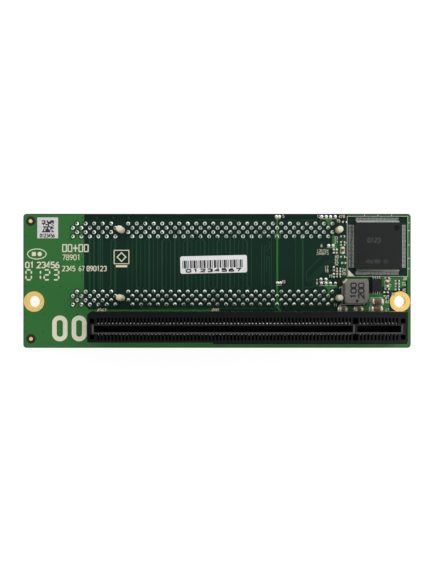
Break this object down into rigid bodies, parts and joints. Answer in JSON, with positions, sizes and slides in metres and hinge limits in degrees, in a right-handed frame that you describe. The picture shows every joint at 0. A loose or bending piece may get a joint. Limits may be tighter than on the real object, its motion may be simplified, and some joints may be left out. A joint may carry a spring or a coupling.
{
  "type": "pcie riser card",
  "caption": "Server riser board with an edge slot on its front and card slots on its back, a bridge chip, power parts and plated mounting holes.",
  "frame": {"origin": "under the middle of the board, in the plane of the two rear slots' mating faces", "axes": "+Z the way the board's front faces, +X along the board towards the bridge chip, +Y across the board away from the x16 slot"},
  "size_m": [0.1156, 0.04, 0.0242],
  "materials": {
    "solder_mask": "green solder mask over copper and glass epoxy",
    "gold_plating": "gold plate over copper",
    "cream_plastic": "moulded thermoplastic, cream",
    "black_plastic": "moulded thermoplastic, black",
    "contact_metal": "plated spring contact",
    "solder": "tin solder",
    "tinned_lead": "tin plate",
    "chip_body": "moulded epoxy, near black",
    "pressed_iron": "pressed iron powder, grey",
    "resistor_body": "glazed ceramic with plated ends",
    "capacitor_ceramic": "brown ceramic with plated ends",
    "sticker_paper": "white coated paper"
  },
  "bodies": {
    "root": {"circuit_board": "solder_mask", "mounting_hole_rings": "gold_plating", "pci_slot_housing_upper": "cream_plastic", "pci_slot_housing_lower": "cream_plastic", "pci_slot_contacts_upper": "contact_metal", "pci_slot_contacts_lower": "contact_metal", "pci_slot_solder_upper": "solder", "pci_slot_solder_lower": "solder", "pcie_slot_housing": "black_plastic", "pcie_slot_contacts_upper": "contact_metal", "pcie_slot_contacts_lower": "contact_metal", "pcie_slot_solder": "solder", "bridge_chip": "chip_body", "bridge_chip_leads": "tinned_lead", "power_inductor": "pressed_iron", "power_inductor_terminals": "tinned_lead", "regulator_chip": "chip_body", "regulator_leads": "tinned_lead", "chip_resistors": "resistor_body", "small_capacitors": "capacitor_ceramic", "middle_capacitors": "capacitor_ceramic", "medium_capacitors": "capacitor_ceramic", "large_capacitors": "capacitor_ceramic", "square_label": "sticker_paper", "long_label": "sticker_paper"}
  },
  "joints": []
}
